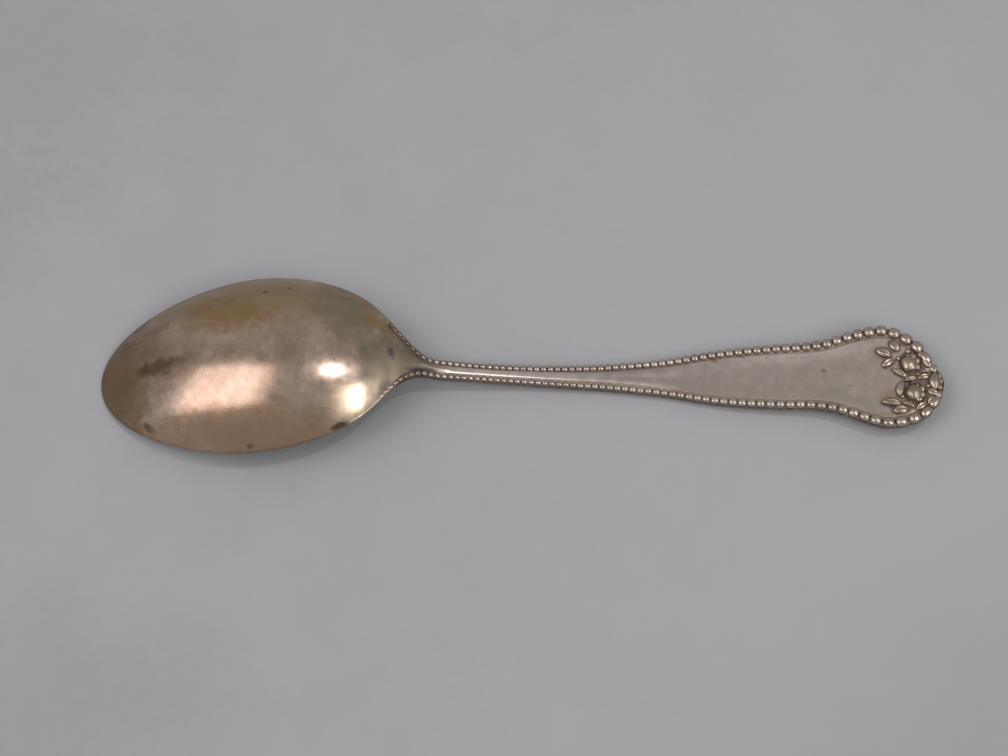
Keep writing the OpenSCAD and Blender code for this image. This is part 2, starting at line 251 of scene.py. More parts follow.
def bowl_crown(x):
    """How far the back of the bowl rises over its edges."""
    return CROWN * (half_width(x) / HALF_BOWL) ** 1.8 * (1 - ease((x - HOLLOW_END) / HEEL))


def heel_crown(x):
    """How far the back of the neck rises over the bowl's own form."""
    rising = ease((x - OVAL_END) / (HOLLOW_END + 2 - OVAL_END))
    return SHANK_T * 0.05 * rising * (1 - ease((x - HOLLOW_END - 1) / HEEL))


def bead_pitch(x):
    """Distance from one bead to the next."""
    return mix(FIRST_PITCH, LAST_PITCH, squash((x - HANDLE_X) / HANDLE_L) ** 1.8)


def bead_r(x):
    return 0.455 * bead_pitch(x)


def strip_width(x):
    """Width of the flat strip that carries the beads."""
    return bead_r(x) * 1.75 * ease((x - STRIP_X) / STRIP_RUN)


def edge_level(face, x):
    """Height of the edge of the back, where face is 1, or of the front, where it is -1."""
    return edge_height(x) + face * half_edge(x)


# The bowl's sides reach furthest between these places, which are looked at in steps of 0.1 mm
BOWL_SIDES = [x / 10 for x in range(100, 470)]
BOX_LEFT = max(middle(x) + half_width(x) for x in BOWL_SIDES)
BOX_RIGHT = min(middle(x) - half_width(x) for x in BOWL_SIDES)
MID_Y = (BOX_LEFT + BOX_RIGHT) / 2


def to_row(p):
    """Millimetres of the part's own count to metres of the row frame."""
    return ((p[0] - LENGTH / 2) / 1000, (p[1] - MID_Y) / 1000, p[2] / 1000)


# Relief of the surfaces. Runs are given as their start and length along the spoon, in millimetres
FIELD_RUN = (84, 16)
ROOF_RUN = (56, 7)
TINY = 1e-6
SAME_PLACE = 1e-7  # millimetres


def relief(x, d):
    """The channel beside the beads, the ridge along it and the dished field, at d from the outline."""
    r = bead_r(x)
    q = d / r
    a = ramp(x, FIELD_RUN)
    channel = -0.06 * bell(q, 1.8, 0.1)
    ridge = 0.012 * bell(q, 2.2, 0.25)
    dish = -0.08 * ease((q - 2.2) / 3.5)
    return a * r * (channel + ridge) + a * dish


def back_z(x, v, h, d, fillet):
    """Height of the back at v from the middle line, where the spoon's half width is h."""
    u = squash(v / max(TINY, h - fillet - strip_width(x)))
    w = squash(v / max(TINY, h - 1.5 * bead_r(x)))
    z = edge_level(1, x) + bowl_crown(x) * (1 - u ** 2.3) + heel_crown(x) * (1 - u * u)
    roof = stem_crown(x) * mix(1 - u * u, 0.45 * (1 - w ** 4), ramp(x, ROOF_RUN))
    return z + roof + relief(x, d)


def front_z(x, v, h, d, fillet):
    """Height of the front at v from the middle line, where the spoon's half width is h."""
    u = squash(v / max(TINY, h - fillet - strip_width(x)))
    half = hollow_half(x)
    hollow = DEPTH * (half / HALF_HOLLOW) ** 1.8 * (1 - (v / half) ** 2.3) if v < half else 0.0
    return edge_level(-1, x) + hollow - stem_crown(x) * (1 - u * u) - relief(x, d)


# The body is one grid of sections, cut into four pieces
BOWL_STEPS = 120
STRETCHES = [
    ("heel", HOLLOW_END, NECK_X, 18),
    ("shank", NECK_X, BLADE_X, 74),
    ("plate", BLADE_X, WAIST_X, 30),
]
END_STEPS = 12
END_TURN_STEPS = 14
END_LAG = 0.7  # the middles of the end's sections stay behind their edges
END_SHIFT = -1.5  # and move over to the rose at the tip, in millimetres
MAX_FILLET = 0.32
MID_STEPS = 16
# Distances of the rings of points from the rounded edge, in bead radii
RINGS = [2.5, 2.25, 2.05, 1.94, 1.86, 1.78, 1.7, 1.45, 1.0, 0.5]
FILLET = [0, 22.5, 45, 67.5, 90]  # places round the edge, in degrees
HALF = MID_STEPS + len(RINGS) + 2 * len(FILLET) + len(RINGS) + MID_STEPS
# Rings of the front from the inner edge of the land, in millimetres, and the runs where they are used
LAND_RINGS = [0.9, 0.6, 0.38, 0.22, 0.1, 0, -0.12, -0.35, -0.6]
LAND_START_RUN = (1.4, 1.4)
LAND_END_RUN = (47.5, 4.5)


def stations():
    """Sections across the spoon: piece, middle, both edge points, both ways inwards and half width."""
    places = [("bowl", HOLLOW_END * (1 - math.cos(math.pi * i / BOWL_STEPS)) / 2) for i in range(BOWL_STEPS)]
    for word, start, stop, count in STRETCHES:
        places += [(word, mix(start, stop, i / count)) for i in range(count)]
    rows = []
    for word, x in places:
        c, h = np.array([x, middle(x)]), half_width(x)
        rows.append((word, c, c + [0, h], c - [0, h], np.array([0, -1.0]), np.array([0, 1.0]), h))
    return rows + end_stations()


def end_stations():
    """Sections round the end of the handle, where the edges turn towards each other."""
    left = smooth_path([(end_x(p), END_W * q) for p, q in LEFT_END], END_STEPS)
    right = smooth_path([(end_x(p), -END_W * q) for p, q in RIGHT_END], END_STEPS)
    last = len(left) - 1
    rows = []
    for i in range(last + 1):
        along = (left[i][0] + right[i][0]) / 2
        c = np.array([WAIST_X + (along - WAIST_X) * END_LAG, END_SHIFT * (i / last) ** 2])
        inward = []
        for path, s in ((left, 1), (right, -1)):
            d = path[min(last, i + 1)] - path[max(0, i - 1)]
            n = s * np.array([d[1], -d[0]]) / np.linalg.norm(d)
            n = mix(np.array([0, -1.0 * s]), n, ease(i / END_TURN_STEPS))
            inward.append(n / np.linalg.norm(n))
        if i == last:
            inward = [np.array([-1.0, 0.0])] * 2
        rows.append(("plate", c, left[i], right[i], *inward, None))
    return rows


def front_rings(x, reach, fillet, rings):
    """The rings of the front, drawn together round the inner edge of the land where there is one."""
    half = hollow_half(x)
    if x >= HOLLOW_END or half <= 0:
        return rings
    wish = [reach - half + q for q in LAND_RINGS] + [fillet + 0.06]
    k = (1 - ramp(x, LAND_END_RUN)) * ramp(x, LAND_START_RUN) * ease((half - 2) / 2)
    return [mix(a, b, k) for a, b in zip(rings, wish)]


def half_section(c, edge, normal, h):
    """Points from the middle of the back, round one edge, to the middle of the front."""
    x0 = edge[0]
    reach = np.linalg.norm(edge - c)
    thick = 2 * half_edge(x0)
    fillet = min(0.42 * thick, MAX_FILLET, 0.4 * reach)
    fit = min(1.0, 0.8 * max(0.0, reach - fillet) / (RINGS[0] * bead_r(x0)))
    back_d = [fillet + q * bead_r(x0) * fit for q in RINGS]
    front_d = front_rings(x0, reach, fillet, back_d)
    points = []

    def at(d):
        return edge + normal * d

    def add(p, z):
        points.append((p[0], p[1], z))

    def height(face, p, d):
        if h is None:
            return edge_level(face, p[0]) + face * relief(p[0], d)
        surface = back_z if face > 0 else front_z
        return surface(p[0], np.linalg.norm(p - c), h, d, fillet)

    def add_field(face, d0, order):
        ring0 = at(d0)
        for k in order:
            p = c + (ring0 - c) * math.sin(math.pi * k / (2 * MID_STEPS))
            add(p, height(face, p, d0 + np.linalg.norm(ring0 - p)))

    def add_rings(face, distances):
        for d in distances:
            add(at(d), height(face, at(d), d))

    def add_round(face, degrees):
        for a in map(math.radians, degrees):
            p = at(fillet * (1 - math.sin(a)))
            add(p, edge_level(face, p[0]) - face * fillet * (1 - math.cos(a)))

    add_field(1, back_d[0], range(MID_STEPS))
    add_rings(1, back_d)
    add_round(1, FILLET)
    add_round(-1, reversed(FILLET))
    add_rings(-1, reversed(front_d))
    add_field(-1, front_d[0], reversed(range(MID_STEPS)))
    return points


def new_mesh(name, verts, faces, dirt_and_shade, normals=None):
    """A smooth mesh from points in millimetres, with its dirt and painted shade stored as a colour."""
    mesh = bpy.data.meshes.new(name)
    mesh.from_pydata([to_row(v) for v in verts], [], faces)
    mesh.polygons.foreach_set("use_smooth", [True] * len(mesh.polygons))
    layer = mesh.color_attributes.new("dirt_and_shade", "FLOAT_COLOR", "POINT")
    layer.data.foreach_set("color", [c for d in dirt_and_shade for c in (d, d, d, 1.0)])
    mesh.update()
    if normals is not None:
        mesh.normals_split_custom_set_from_vertices(normals)
    obj = bpy.data.objects.new(name, mesh)
    bpy.context.scene.collection.objects.link(obj)
    return obj


def piece(obj, slot, material, *nodes):
    obj.data.materials.append(material)
    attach(obj, "root")
    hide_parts(*nodes)


# Roses: middle, half length, half width, turn in degrees and height, in millimetres
ROSES = {
    "left": (144.2, 2.1, 1.85, 2.0, 20.0, ROSE_H),
    "right": (144.75, -3.65, 1.85, 1.95, -15.0, ROSE_H),
    "tip": (148.45, -1.5, 1.35, 2.05, 0.0, ROSE_H * 0.8),
}
# Leaves: middle, length, width, turn in degrees and height
LEAVES = [
    (139.5, 4.2, 3.0, 2.0, -25, 0.55), (141.5, 5.5, 2.4, 2.0, -50, 0.5), (140.3, 2.2, 2.7, 1.6, 30, 0.5),
    (142.1, 0.15, 3.2, 1.3, -35, 0.5), (142.3, -2.8, 3.2, 1.7, 74, 0.55), (140.4, -5.5, 3.6, 1.7, -8, 0.55),
    (142.0, -6.9, 2.9, 2.0, 6, 0.5), (145.7, -6.2, 2.4, 1.5, 32, 0.5), (147.5, -5.1, 2.0, 1.7, 50, 0.5),
    (143.35, -5.9, 2.6, 1.0, -25, 0.4), (147.0, 2.1, 2.6, 1.5, -55, 0.5), (146.4, -0.6, 2.3, 1.3, 15, 0.45),
    (147.7, -3.6, 2.0, 1.6, -25, 0.5), (144.1, -1.0, 2.4, 1.1, 12, 0.45), (148.0, 1.0, 1.9, 1.5, -60, 0.5),
    (146.4, 3.5, 2.0, 1.4, -30, 0.45), (148.9, -4.0, 1.6, 1.4, 60, 0.45), (146.9, 0.6, 1.7, 1.0, 10, 0.4),
]
# Buds: middle and radius
BUDS = [
    (143.9, 4.45, 0.58), (142.1, 3.1, 0.45), (146.9, -0.55, 0.46), (147.0, -2.3, 0.42), (145.4, 0.0, 0.36),
    (142.4, -4.3, 0.4),
]


def spray_dirt_and_shade(x, y):
    """How much dark deposit and painted shade lies on the blade at a place, from the ornaments near it."""
    best = 0.85 * ease((x - 142.6 - 0.1 * abs(y + 0.6)) / 1.8)
    for cx, cy, rx, ry, _, _ in ROSES.values():
        q = math.hypot((x - cx) / rx, (y - cy) / ry)
        best = max(best, 1 - ease((q - 1.0) / 0.5))
    for cx, cy, length, width, turn, _ in LEAVES:
        a = math.radians(turn)
        dx, dy = x - cx, y - cy
        u, v = dx * math.cos(a) + dy * math.sin(a), -dx * math.sin(a) + dy * math.cos(a)
        q = math.hypot(u / (length / 2), v / (width / 2))
        best = max(best, 0.8 * (1 - ease((q - 1.0) / 0.55)))
    return best


# Painted shade line on the left rim near the tip: its middle and width. Dirt and painted shade: where they
# begin at the neck and in the spray
TIP_RIM_SHADE = (16, 11)
NECK_DIRT_AND_SHADE_X = 50
NECK_DIRT_AND_SHADE_RUN = (51, 3)
SPRAY_X = 136


def section_dirt_and_shade(j, x, y):
    """Dark deposit and painted shade at point j of a section: on the rim, under and beside the beads, and in
    the spray.
    """
    half_j = j if j < HALF else 2 * HALF - 2 - j
    k = min(half_j, HALF - 1 - half_j)
    on_edge = k >= MID_STEPS + len(RINGS)
    amount = 0.0
    if on_edge:
        # The left rim gets a painted shade line near the tip; the right rim is dark all along
        amount = 0.65 * bell(x, *TIP_RIM_SHADE) if j < HALF else 0.6
    # Dirt and painted shade in the channel beside the beads and under them
    if x > NECK_DIRT_AND_SHADE_X and k >= MID_STEPS:
        on = ramp(x, NECK_DIRT_AND_SHADE_RUN)
        q = RINGS[min(k - MID_STEPS, len(RINGS) - 1)]
        amount = on * (0.6 if q < 1.75 else 0.5 * bell(q, 1.74, 0.07))
        if on_edge:
            amount = max(0.65 * on, 0.5 * (1 - on))
    if x > SPRAY_X:
        amount = max(amount, spray_dirt_and_shade(x, y) * (1.0 if half_j < HALF / 2 else 0.8))
    return min(1.0, amount)


def distinct(face, verts):
    """The corners of a face without neighbours in the same place, as there are at the bowl's tip."""
    ring = []
    for v in face:
        if not ring or np.linalg.norm(np.subtract(verts[v], verts[ring[-1]])) > SAME_PLACE:
            ring.append(v)
    if len(ring) > 1 and np.linalg.norm(np.subtract(verts[ring[0]], verts[ring[-1]])) < SAME_PLACE:
        ring.pop()
    return tuple(ring)


def build_body():
    """Points, dirt with painted shade, and faces of the whole body, each face with the piece that it belongs
    to.
    """
    rows = stations()
    verts, dirt_and_shade, index = [], [], []
    for _, c, left, right, inward_left, inward_right, h in rows:
        loop = half_section(c, left, inward_left, h)
        loop += half_section(c, right, inward_right, h)[-2:0:-1]
        index.append(list(range(len(verts), len(verts) + len(loop))))
        verts += loop
        dirt_and_shade += [section_dirt_and_shade(j, p[0], p[1]) for j, p in enumerate(loop)]
    m = len(index[0])
    # The last section lies on itself: its two halves are the same points
    same = {index[-1][j]: index[-1][2 * HALF - 2 - j] for j in range(HALF, m)}
    faces = []
    for row, near, far in zip(rows, index, index[1:]):
        for j in range(m):
            k = (j + 1) % m
            corners = distinct([same.get(v, v) for v in (near[j], far[j], far[k], near[k])], verts)
            if len(set(corners)) >= 3:
                faces.append((corners, row[0]))
    return verts, dirt_and_shade, faces


def vertex_normals(verts, faces):
    """Normals of the points, so that the four pieces shade as one surface."""
    v = np.array(verts)
    n = np.zeros_like(v)
    for f in faces:
        p = v[list(f)]
        area = np.zeros(3)
        for i in range(len(f)):
            area += np.cross(p[i], p[(i + 1) % len(f)])
        for i in f:
            n[i] += area
    # Points that lie on each other share one normal
    keys = {}
    for i, p in enumerate(v):
        keys.setdefault(tuple(np.round(p, 5)), []).append(i)
    for group in keys.values():
        if len(group) > 1:
            s = n[group].sum(axis=0)
            for i in group:
                n[i] = s
    length = np.linalg.norm(n, axis=1)
    length[length == 0] = 1
    return n / length[:, None]


# Beads. Each pair of values is for the left row, 1, and the right row, -1
FIRST_BEAD = {1: 0.968, -1: 0.942}  # share of the bowl's length
LAST_BEAD = {1: 0.165, -1: 0.136}  # share of the end's width, before the end
INSET_RUN = {1: (110, 25), -1: (136, 8)}
END_INSET_RUN = (144, 3)
GROWTH_RUN = (134, 6)
YOUNG_RUN = (52.5, 9)  # the beads grow from low and narrow to full
LATE_RUN = (145.2, 1.6)  # and get lower and narrower again
DULL_RUN = (54, 9)  # left beads turn from dull to bright
DULL_SPOT = (55, 5)  # right beads are dull here: middle and half length
BEAD_HALF_LENGTH = 0.482  # as a share of the pitch
BEAD_HALF_WIDTH = {1: 1.03, -1: 0.96}  # in bead radii
BEAD_HEIGHT = 0.84  # in bead radii
FRONT_NARROW = 0.72
SQUARE = 2.8  # power of the foot's outline, which is round at 2
SKIRT = 0.3  # how far the foot of a dome goes on into the metal, in millimetres
SIDE_STEPS, ROUND_STEPS = 200, 5


def edge_points(side):
    """Points along the outline of one side, from the first bead to the middle of the end."""
    start = BOWL_L * FIRST_BEAD[side]
    points = []
    for i in range(SIDE_STEPS):
        x = mix(start, WAIST_X, i / SIDE_STEPS)
        points.append(np.array([x, middle(x) + side * half_width(x)]))
    table = LEFT_END if side > 0 else RIGHT_END
    return points + smooth_path([(end_x(p), side * END_W * q) for p, q in table], ROUND_STEPS)


def growth(x):
    """The beads are a tenth longer near the end of the handle."""
    return mix(1, 1.1, ramp(x, GROWTH_RUN))


def bead_row(face, side):
    """Middles of the beads, one step apart along a line inside the outline."""
    e = edge_points(side)
    points = []
    for i in range(len(e) - 1):
        d = e[i + 1] - e[max(0, i - 1)]
        d = d / np.linalg.norm(d)
        x = e[i][0]
        inset = mix(mix(0.8, 0.64, ramp(x, INSET_RUN[side])), 0.45, ramp(x, END_INSET_RUN))
        points.append(e[i] + side * np.array([d[1], -d[0]]) * bead_r(x) * (inset if face > 0 else 1.2))
    stop = end_x(LAST_BEAD[side])
    at, i, out = points[0], 0, [points[0]]
    while i <= len(points) - 2 and at[0] <= stop:
        gap = np.linalg.norm(points[i + 1] - at)
        step = bead_pitch(at[0]) * growth(at[0])
        if gap < step:
            i += 1
        else:
            at = at + (points[i + 1] - at) / gap * step
            out.append(at)
    return out


def seat(face, cx, cy, turn):
    """Puts a form on the metal round a place: u along it, v across it and z out of the metal."""
    slope = math.atan(slope_at(lambda x: edge_level(face, x), cx))
    base = edge_level(face, cx)

    def place(u, v, z):
        x = u * math.cos(turn) - v * math.sin(turn)
        y = u * math.sin(turn) + v * math.cos(turn)
        return cx + x * math.cos(slope), cy + y, base + face * z + x * math.sin(slope)

    return place


def outward(face, faces):
    """Faces of a form on the front run the other way round."""
    return faces if face > 0 else [tuple(reversed(f)) for f in faces]


def dome_points(cx, cy, along, across, height, turn, face, square=2.0):
    """A dome with its foot sunk into the metal: points, faces, and dirt with painted shade, darker towards
    the foot.
    """
    place = seat(face, cx, cy, turn)
    rings, spokes = 7, 20
    verts, dirt_and_shade = [], []
    for i in range(rings + 1):
        a = math.pi / 2 * i / rings
        out, up = math.cos(a) ** (0.62 if square > 2 else 1.0), math.sin(a)
        for j in range(1 if i == rings else spokes):
            b = 2 * math.pi * j / spokes
            full = (abs(math.cos(b)) ** square + abs(math.sin(b)) ** square) ** (-1 / square)
            u, v = along * out * full * math.cos(b), across * out * full * math.sin(b)
            verts.append(place(u, v, height * up))
            # Dirt and painted shade, darker towards the foot of the dome
            dirt_and_shade.append(max(0.0, 1 - up / 0.4))
    faces = []
    for i in range(rings - 1):
        for j in range(spokes):
            k = (j + 1) % spokes
            faces.append((i * spokes + j, i * spokes + k, (i + 1) * spokes + k, (i + 1) * spokes + j))
    top = rings * spokes
    for j in range(spokes):
        faces.append(((rings - 1) * spokes + j, (rings - 1) * spokes + (j + 1) % spokes, top))
    skirt = len(verts)
    verts += [(x, y, z - face * SKIRT) for x, y, z in verts[:spokes]]
    dirt_and_shade += [1.0] * spokes
    for j in range(spokes):
        k = (j + 1) % spokes
        faces.append((skirt + j, skirt + k, k, j))
    return verts, outward(face, faces), dirt_and_shade


def join(parts):
    """Several forms as one: points, faces, and dirt with painted shade."""
    verts, faces, dirt_and_shade = [], [], []
    for v, f, d in parts:
        n = len(verts)
        verts += v
        faces += [tuple(i + n for i in g) for g in f]
        dirt_and_shade += d
    return verts, faces, dirt_and_shade


def jitter(i, side):
    """A fixed number from -0.5 to 0.5 for each bead, so that no two are quite alike."""
    t = math.sin(i * 12.9898 + side * 78.233) * 43758.5453
    return (t - math.floor(t)) - 0.5


def bead_parts(face, side):
    """One row of beads, flat and dull at the neck and narrow at the end."""
    row = bead_row(face, side)
    parts = []
    for i, p in enumerate(row):
        x = p[0]
        d = row[min(len(row) - 1, i + 1)] - row[max(0, i - 1)]
        wobble = jitter(i, side)
        young, late = ramp(x, YOUNG_RUN), ramp(x, LATE_RUN)
        along = bead_pitch(x) * (BEAD_HALF_LENGTH + 0.012 * wobble) * growth(x)
        across = bead_r(x) * (1.0 + 0.05 * wobble) * mix(0.62, 1.0, young) * BEAD_HALF_WIDTH[side]
        if face < 0:
            across *= FRONT_NARROW
        across *= mix(1, 0.8, late)
        height = bead_r(x) * BEAD_HEIGHT * mix(0.55, 1.0, young) * mix(1, 0.7, late)
        spot_x, spot_l = DULL_SPOT
        dull = 0.75 * (1 - ramp(x, DULL_RUN)) if side > 0 else 0.5 * (1 - ease(abs(x - spot_x) / spot_l))
        turn = math.atan2(d[1], d[0])
        verts, faces, dirt_and_shade = dome_points(x, p[1], along, across, height, turn, face, SQUARE)
        parts.append((verts, faces, [max(a, dull) for a in dirt_and_shade]))
    return join(parts)


# Petals of a rose: middle and radius, as shares of the rose
PETALS = [(0.66, 0.02, 0.34), (0.5, 0.54, 0.36), (0.48, -0.54, 0.38), (0.0, 0.74, 0.26)]
DARK_X = 147  # a rose beyond this place is darker
ROSE_SINK, LEAF_SINK = 0.12, 0.08


def bloom(q, b):
    """Heights of a rose's ball and petals at a place, and the seam and the fold between them."""
    pu, pv = q * math.cos(b), q * math.sin(b)
    ball = arch(math.hypot(pu + 0.17, pv) / 0.8, 2.3)
    petals = max(0.6 * arch(math.hypot(pu - qu, pv - qv) / size) for qu, qv, size in PETALS)
    seam = bell(ball - petals, 0, 0.07) if min(ball, petals) > 0.1 else 0.0
    fold = bell(math.hypot(pu, pv - 0.05), 0.36, 0.05) * ease(math.cos(b - 0.5) * 2)
    return ball, petals, seam, fold


def rose_parts(face, spot, seed):
    """A rose from rings round its middle, the last of them sunk into the metal."""
    cx, cy, rx, ry, turn, height = spot
    place = seat(face, cx, cy, math.radians(turn))
    rings, spokes = 26, 72
    verts, dirt_and_shade = [], []
    for i in range(rings + 1):
        q = (i / rings) ** 0.9
        for j in range(spokes):
            b = 2 * math.pi * j / spokes
            ball, petals, seam, fold = bloom(q, b)
            z = height * (max(ball, petals) - 0.05 * fold)
            edge = 1 + 0.04 * math.cos(5 * b + seed)
            u, v = rx * q * edge * math.cos(b), ry * q * edge * math.sin(b)
            verts.append(place(u, v, z - (ROSE_SINK if i == rings else 0)))
            # Dirt and painted shade: darker low down, in the seam and the fold, and painted shade on the
            # petals; roses past DARK_X are darker with dirt
            shade = (0.3 if petals > ball else 0.0) + (0.25 if cx > DARK_X else 0.0)
            dirt_and_shade.append(squash(1.0 - 2.2 * z / height + 0.8 * seam + 0.4 * fold + shade))
    faces = []
    for i in range(rings):
        for j in range(spokes):
            k = (j + 1) % spokes
            faces.append((i * spokes + j, (i + 1) * spokes + j, (i + 1) * spokes + k, i * spokes + k))
    return verts, outward(face, faces), dirt_and_shade


def leaf_part(face, spot):
    """A pointed, slightly bent leaf with a vein along its middle."""
    cx, cy, length, width, turn, height = spot
    place = seat(face, cx, cy, math.radians(turn))
    rows, columns = 22, 14
    verts, dirt_and_shade = [], []
    for i in range(rows + 1):
        s = -math.cos(math.pi * i / rows)
        w = width / 2 * (1 - s * s) ** 0.75
        bend = 0.08 * length * (1 - s * s)
        for j in range(columns + 1):
            t = -math.cos(math.pi * j / columns)
            vein = 1 - 0.3 * bell(t, 0, 0.2) * (1 - s * s)
            z = height * (1 - s * s) ** 0.45 * math.sqrt(max(0.0, 1 - t * t)) * vein
            inside = 0 < j < columns and 0 < i < rows
            verts.append(place(s * length / 2, t * w + bend, z if inside else -LEAF_SINK))
            # Dirt and painted shade, darker where the leaf is low
            dirt_and_shade.append(squash(1.0 - 2.0 * z / height))
    faces = []
    m = columns + 1
    for i in range(rows):
        for j in range(columns):
            faces.append((i * m + j, (i + 1) * m + j, (i + 1) * m + j + 1, i * m + j + 1))
    return verts, outward(face, faces), dirt_and_shade


# Materials
SMALL_STAIN = 1.5  # millimetres
HANDLE_BLEND = (-0.034, -0.012)  # metres


class Graph:
    """The nodes of one material."""

    def __init__(self, name):
        self.mat = bpy.data.materials.new(name)
        self.mat.use_nodes = True
        self.tree = self.mat.node_tree
        self.shader = self.tree.nodes["Principled BSDF"]
        self.coord = self.add("ShaderNodeTexCoord").outputs["Object"]
        self.shared = {}

    def add(self, kind, **props):
        node = self.tree.nodes.new(kind)
        for k, v in props.items():
            setattr(node, k, v)
        return node

    def link(self, a, b):
        self.tree.links.new(a, b)

    def feed(self, socket, value):
        if isinstance(value, bpy.types.NodeSocket):
            self.link(value, socket)
        else:
            socket.default_value = value

    def noise(self, scale, detail=4.0, rough=0.55, stretch=None, distortion=0.0):
        coord = self.coord
        if stretch:
            m = self.add("ShaderNodeMapping")
            self.link(coord, m.inputs["Vector"])
            m.inputs["Rotation"].default_value = (0, 0, stretch[3])
            m.inputs["Scale"].default_value = stretch[:3]
            coord = m.outputs["Vector"]
        n = self.add("ShaderNodeTexNoise")
        self.link(coord, n.inputs["Vector"])
        n.inputs["Scale"].default_value = scale
        n.inputs["Detail"].default_value = detail
        n.inputs["Roughness"].default_value = rough
        n.inputs["Distortion"].default_value = distortion
        return n.outputs["Fac"]

    def span(self, value, a, b, c=0.0, d=1.0, smooth=False):
        n = self.add("ShaderNodeMapRange")
        if smooth:
            n.interpolation_type = "SMOOTHSTEP"
        self.feed(n.inputs["Value"], value)
        for key, v in (("From Min", a), ("From Max", b), ("To Min", c), ("To Max", d)):
            n.inputs[key].default_value = v
        return n.outputs["Result"]

    def math(self, op, a, b=0.0):
        n = self.add("ShaderNodeMath", operation=op)
        self.feed(n.inputs[0], a)
        self.feed(n.inputs[1], b)
        return n.outputs[0]

    def blend(self, factor, a, b, mode="MIX"):
        n = self.add("ShaderNodeMix", data_type="RGBA", blend_type=mode)
        self.feed(n.inputs["Factor"], factor)
        self.feed(n.inputs["A"], a if isinstance(a, bpy.types.NodeSocket) else (*a, 1.0))
        self.feed(n.inputs["B"], b if isinstance(b, bpy.types.NodeSocket) else (*b, 1.0))
        return n.outputs["Result"]

    def spot(self, colour, centre, size, tint, amount=1.0, soft=0.45, ragged=0.35, turn=0.0):
        """A stain of the given half sizes round a place on the spoon, in millimetres; some are painted shade
        and painted highlights.
        """
        c = to_row((centre[0], centre[1], 0))
        m = self.add("ShaderNodeMapping", vector_type="TEXTURE")
        self.link(self.coord, m.inputs["Vector"])
        m.inputs["Location"].default_value = (c[0], c[1], 0)
        m.inputs["Rotation"].default_value = (0, 0, math.radians(turn))
        m.inputs["Scale"].default_value = (size[0] / 1000, size[1] / 1000, 1.0)
        flat = self.add("ShaderNodeVectorMath", operation="MULTIPLY")
        self.link(m.outputs["Vector"], flat.inputs[0])
        flat.inputs[1].default_value = (1, 1, 0)
        length = self.add("ShaderNodeVectorMath", operation="LENGTH")
        self.link(flat.outputs["Vector"], length.inputs[0])
        rag = self.math("SUBTRACT", self.shared_noise(max(size) < SMALL_STAIN), 0.5)
        q = self.math("ADD", length.outputs["Value"], self.math("MULTIPLY", rag, ragged * 4))
        return self.blend(self.span(q, 1 - soft, 1 + soft, amount, 0.0, smooth=True), colour, tint)

    def shared_noise(self, fine=False):
        """One noise for all small stains, and one for all others."""
        if fine not in self.shared:
            self.shared[fine] = self.noise(1900 if fine else 420, 5.0, 0.65)
        return self.shared[fine]

    def bump(self, height, strength, distance):
        node = self.add("ShaderNodeBump")
        node.inputs["Strength"].default_value = strength
        node.inputs["Distance"].default_value = distance
        self.link(height, node.inputs["Height"])
        self.link(node.outputs["Normal"], self.shader.inputs["Normal"])


def handle_share(g):
    """0 on the bowl and 1 on the handle, with a wavy line where they meet."""
    sep = g.add("ShaderNodeSeparateXYZ")
    g.link(g.coord, sep.inputs[0])
    wavy = g.math("MULTIPLY", g.math("SUBTRACT", g.shared_noise(), 0.5), 0.012)
    return g.span(g.math("ADD", sep.outputs["X"], wavy), *HANDLE_BLEND, smooth=True)


def mottling(g, mottle, streaks):
    """A gray near 1 that varies in fine and middling blotches and along streaks."""
    fine = g.span(g.noise(1500, 6.0, 0.65), 0.3, 0.7, -0.05, 0.05)
    mid = g.span(g.noise(330, 5.0, 0.6), 0.3, 0.7, -0.09, 0.09)
    brush = g.span(streaks, 0.3, 0.7, 0.96, 1.04)
    both = g.math("ADD", g.math("MULTIPLY", g.math("ADD", fine, mid), mottle), brush)
    gray = g.add("ShaderNodeCombineColor")
    for s in ("Red", "Green", "Blue"):
        g.link(both, gray.inputs[s])
    return gray.outputs["Color"]


def deposit_and_shade(g, amount):
    """How much dark deposit and painted shade shows, from the mesh's dirt and painted shade and a noise."""
    attr = g.add("ShaderNodeAttribute", attribute_name="dirt_and_shade")
    uneven = g.span(g.noise(700, 4.0), 0.3, 0.7, 0.75, 1.1)
    return g.span(g.math("MULTIPLY", attr.outputs["Fac"], uneven), 0.05, 1.0, 0.0, amount, smooth=True)


def roughness(g, rough, dirt_and_shade, along):
    """Rougher under the dirt and painted shade, on the handle and in the dull middle of the neck."""
    r = g.span(g.noise(500, 6.0, 0.6), 0.3, 0.7, rough - 0.05, rough + 0.07)
    r = g.math("ADD", r, g.math("MULTIPLY", dirt_and_shade, 0.3))
    if along is not None:
        r = g.math("ADD", r, g.math("MULTIPLY", along, 0.08))
        dull = g.spot((0.0, 0.0, 0.0), (54.5, -0.8), (5.0, 5.5), (0.3, 0.3, 0.3), 1.0, 0.6, 0.2)
        r = g.math("ADD", r, dull)
    return r


def scratches(g, streaks, along):
    """Height of fine scratches in two directions, light hammering and pits."""
    slanted = g.noise(1.0, 3.0, 0.5, (260, 5200, 260, 0.35))
    hammering = g.noise(230, 2.0, 0.5)
    h = g.math("ADD", g.math("MULTIPLY", slanted, 0.35), g.math("MULTIPLY", streaks, 0.25))
    much = 0.9 if along is None else g.span(along, 0.0, 1.0, 0.9, 0.35)
    h = g.math("ADD", h, g.math("MULTIPLY", hammering, much))
    return g.math("ADD", h, g.math("MULTIPLY", g.noise(3800, 3.0), 0.3))


